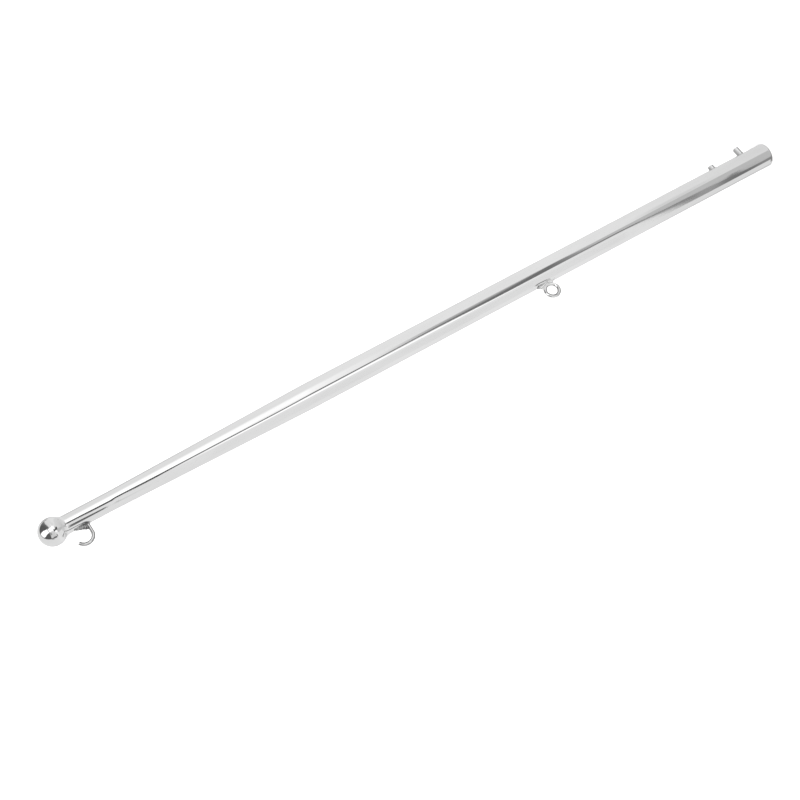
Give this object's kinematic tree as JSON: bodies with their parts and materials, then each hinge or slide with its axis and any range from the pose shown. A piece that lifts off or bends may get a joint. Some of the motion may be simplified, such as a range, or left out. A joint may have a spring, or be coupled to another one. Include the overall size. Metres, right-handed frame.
{
  "type": "boat flag staff",
  "caption": "Polished steel boat flag staff: tapered tube with a ball finial, a halyard hook and eye welded on one side, and locking pins for a slotted deck socket at its foot.",
  "frame": {"origin": "centre of the base end, where the end plug's face and the tube's rim lie flush", "axes": "+Z along the staff from the foot to the ball; the hook and the eye stand on the -X side, the locking pins on the +X side"},
  "size_m": [0.0639, 0.032, 1.0316],
  "materials": {
    "tube_steel": "mirror-polished stainless steel with fine lengthwise polishing lines",
    "ball_steel": "mirror-polished stainless steel",
    "plug_steel": "turned and brushed",
    "wire_steel": "polished round wire",
    "weld_steel": "rippled weld bead, darker than the tube",
    "pin_steel": "satin polished, rounded tips"
  },
  "bodies": {
    "root": {"staff_tube": "tube_steel", "ball_finial": "ball_steel", "end_plug": "plug_steel", "hook": "wire_steel", "hook_weld": "weld_steel", "eye": "wire_steel", "eye_weld": "weld_steel", "long_pin": "pin_steel", "short_pin": "pin_steel"}
  },
  "joints": []
}
